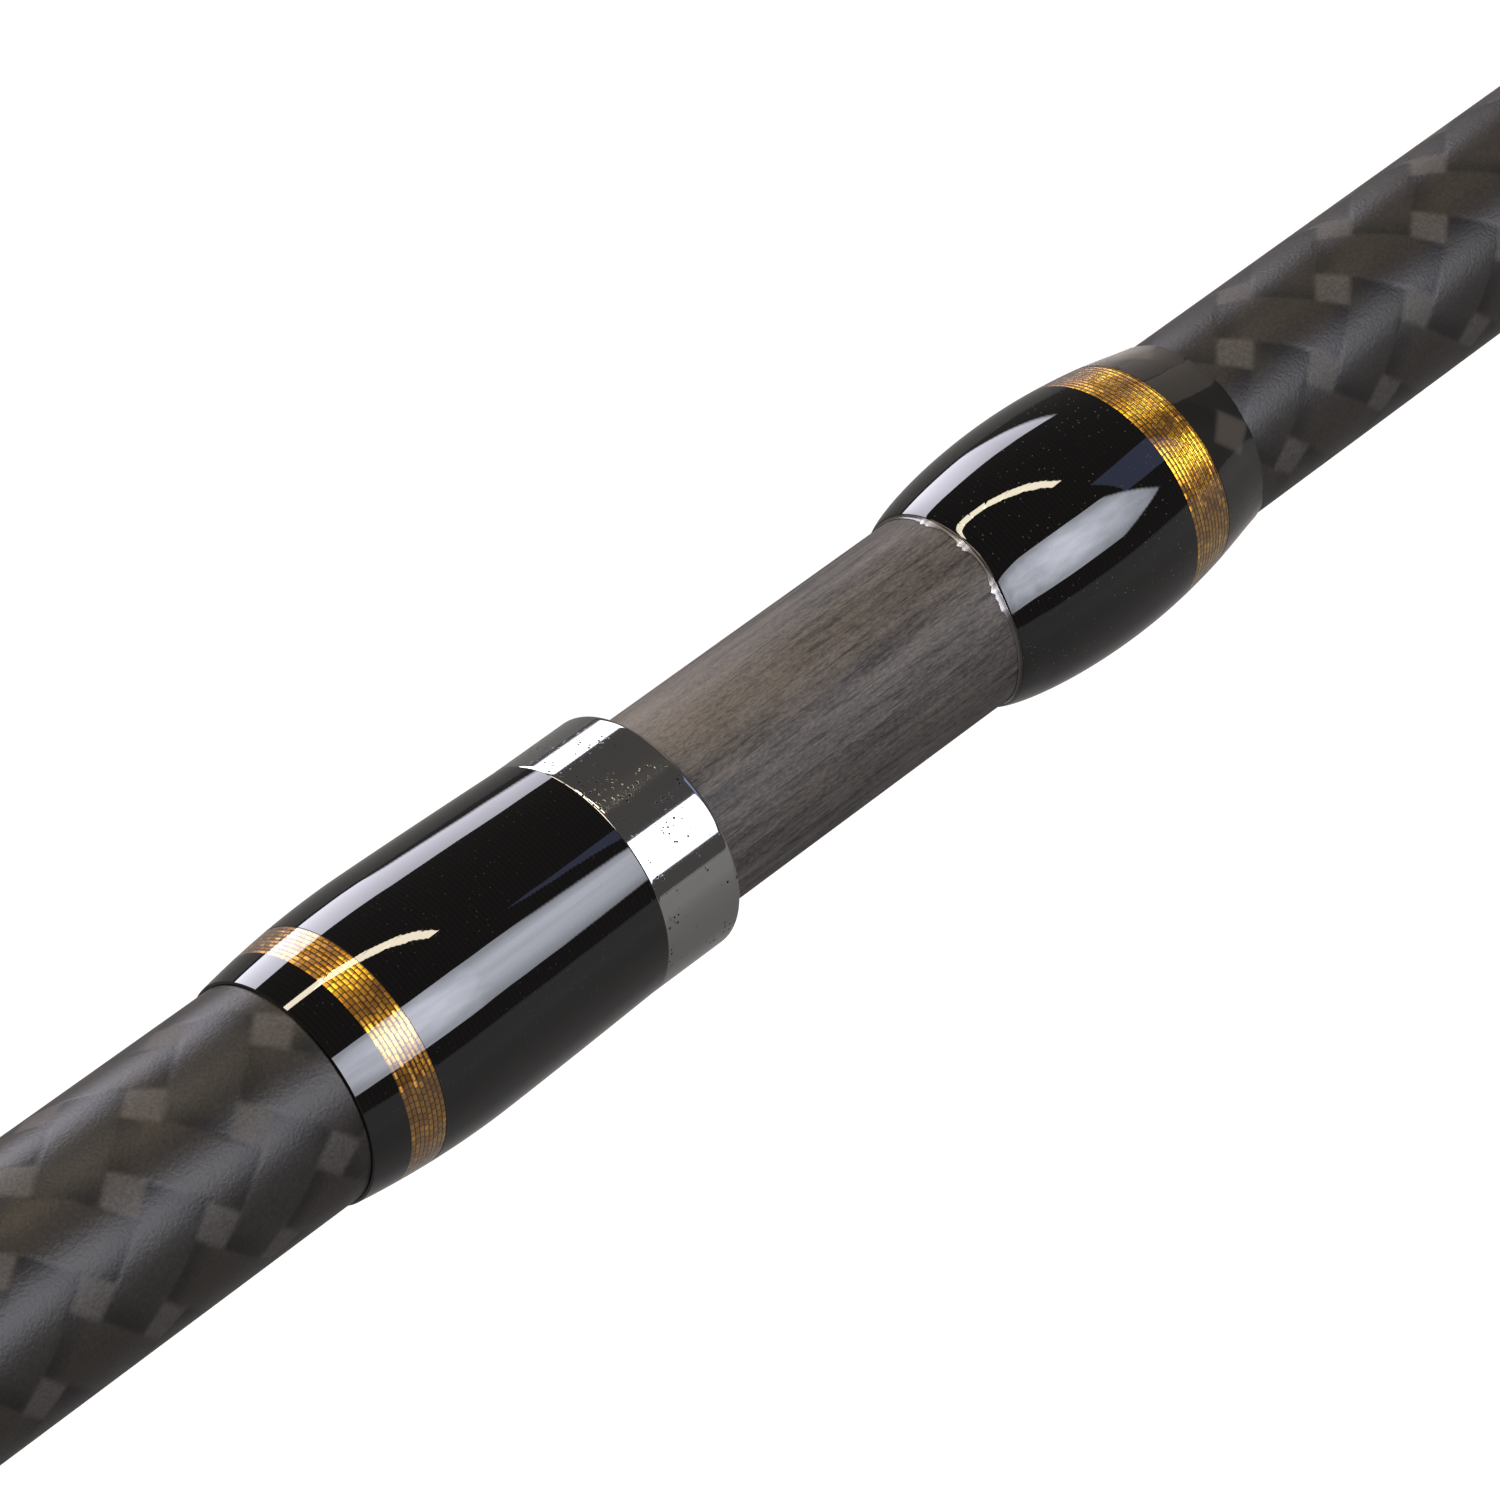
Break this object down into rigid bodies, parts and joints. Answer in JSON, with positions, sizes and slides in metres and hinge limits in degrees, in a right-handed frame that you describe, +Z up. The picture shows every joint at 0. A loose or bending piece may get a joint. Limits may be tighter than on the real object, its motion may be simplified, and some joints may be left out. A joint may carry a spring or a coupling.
{
  "type": "spinning rod",
  "caption": "Two-piece spinning rod with a spigot ferrule, lacquered thread windings, line guides, foam grips and a screw-locking reel seat with a sliding hood.",
  "frame": {"origin": "on the rod's axis, in the middle of the straight part of the rear grip, where the rod is held", "axes": "+X along the rod from butt to tip, +Z up, with the guides and the reel seat's bed facing -Z; +Y completes a right-handed frame"},
  "size_m": [2.1012, 0.0326, 0.0634],
  "materials": {
    "braided_carbon": "satin carbon braid under a thin matt resin",
    "ground_carbon": "ground bare carbon, matt",
    "gold_thread": "metallic gold thread under clear lacquer",
    "clear_lacquer": "clear gloss lacquer over braid",
    "black_winding": "black thread under thick gloss lacquer",
    "polished_metal": "polished",
    "grip_foam": "closed-cell foam, matt",
    "cap_rubber": "matt",
    "seat_plastic": "satin moulded nylon",
    "arbor_plastic": "rigid foam",
    "hood_metal": "dark anodised",
    "line_ceramic": "polished dark ceramic",
    "guide_metal": "dark plated stainless steel"
  },
  "bodies": {
    "butt_section": {"butt_cap": "cap_rubber", "rear_grip": "grip_foam", "trim_ring": "polished_metal", "seat_barrel": "seat_plastic", "seat_arbors": "arbor_plastic", "fixed_hood": "hood_metal", "fore_grip": "grip_foam", "winding_check": "polished_metal", "butt_blank": "braided_carbon", "ferrule_ring": "polished_metal", "butt_winding": "black_winding", "butt_winding_trim": "gold_thread", "keeper_frame": "guide_metal", "keeper_windings": "black_winding", "guide_1_frame": "guide_metal", "guide_1_ring": "line_ceramic", "guide_1_windings": "black_winding"},
    "tip_section": {"male_spigot": "ground_carbon", "tip_blank": "braided_carbon", "tip_winding": "black_winding", "tip_winding_trim": "gold_thread", "tip_skirt": "clear_lacquer", "tip_top_frame": "guide_metal", "tip_top_ring": "line_ceramic", "tip_top_winding": "black_winding", "guide_2_frame": "guide_metal", "guide_2_ring": "line_ceramic", "guide_2_windings": "black_winding", "guide_3_frame": "guide_metal", "guide_3_ring": "line_ceramic", "guide_3_windings": "black_winding", "guide_4_frame": "guide_metal", "guide_4_ring": "line_ceramic", "guide_4_windings": "black_winding", "guide_5_frame": "guide_metal", "guide_5_ring": "line_ceramic", "guide_5_windings": "black_winding", "guide_6_frame": "guide_metal", "guide_6_ring": "line_ceramic", "guide_6_windings": "black_winding", "guide_7_frame": "guide_metal", "guide_7_ring": "line_ceramic", "guide_7_windings": "black_winding"},
    "sliding_hood": {"sliding_hood": "hood_metal"},
    "lock_nut": {"lock_nut": "hood_metal"},
    "keeper_ring": {"keeper_ring": "polished_metal"}
  },
  "joints": [
    {"name": "ferrule_slide", "type": "slide", "parent": "butt_section", "child": "tip_section", "axis": [1, 0, 0], "range_m": [0, 0.08]},
    {"name": "hood_slide", "type": "slide", "parent": "butt_section", "child": "sliding_hood", "axis": [-1, 0, 0], "range_m": [0, 0.026]},
    {"name": "nut_spin", "type": "hinge", "parent": "sliding_hood", "child": "lock_nut", "pos_m": [0.25825, 0, 0], "axis": [-1, 0, 0], "range_deg": [0, 3740]},
    {"name": "keeper_swing", "type": "hinge", "parent": "butt_section", "child": "keeper_ring", "pos_m": [0.399, 0, -0.00966], "axis": [0, 1, 0], "range_deg": [-80, 80]}
  ],
  "couplings": [
    {"joint": "hood_slide", "follows": "nut_spin", "m_per_rad": 0.00039789}
  ]
}
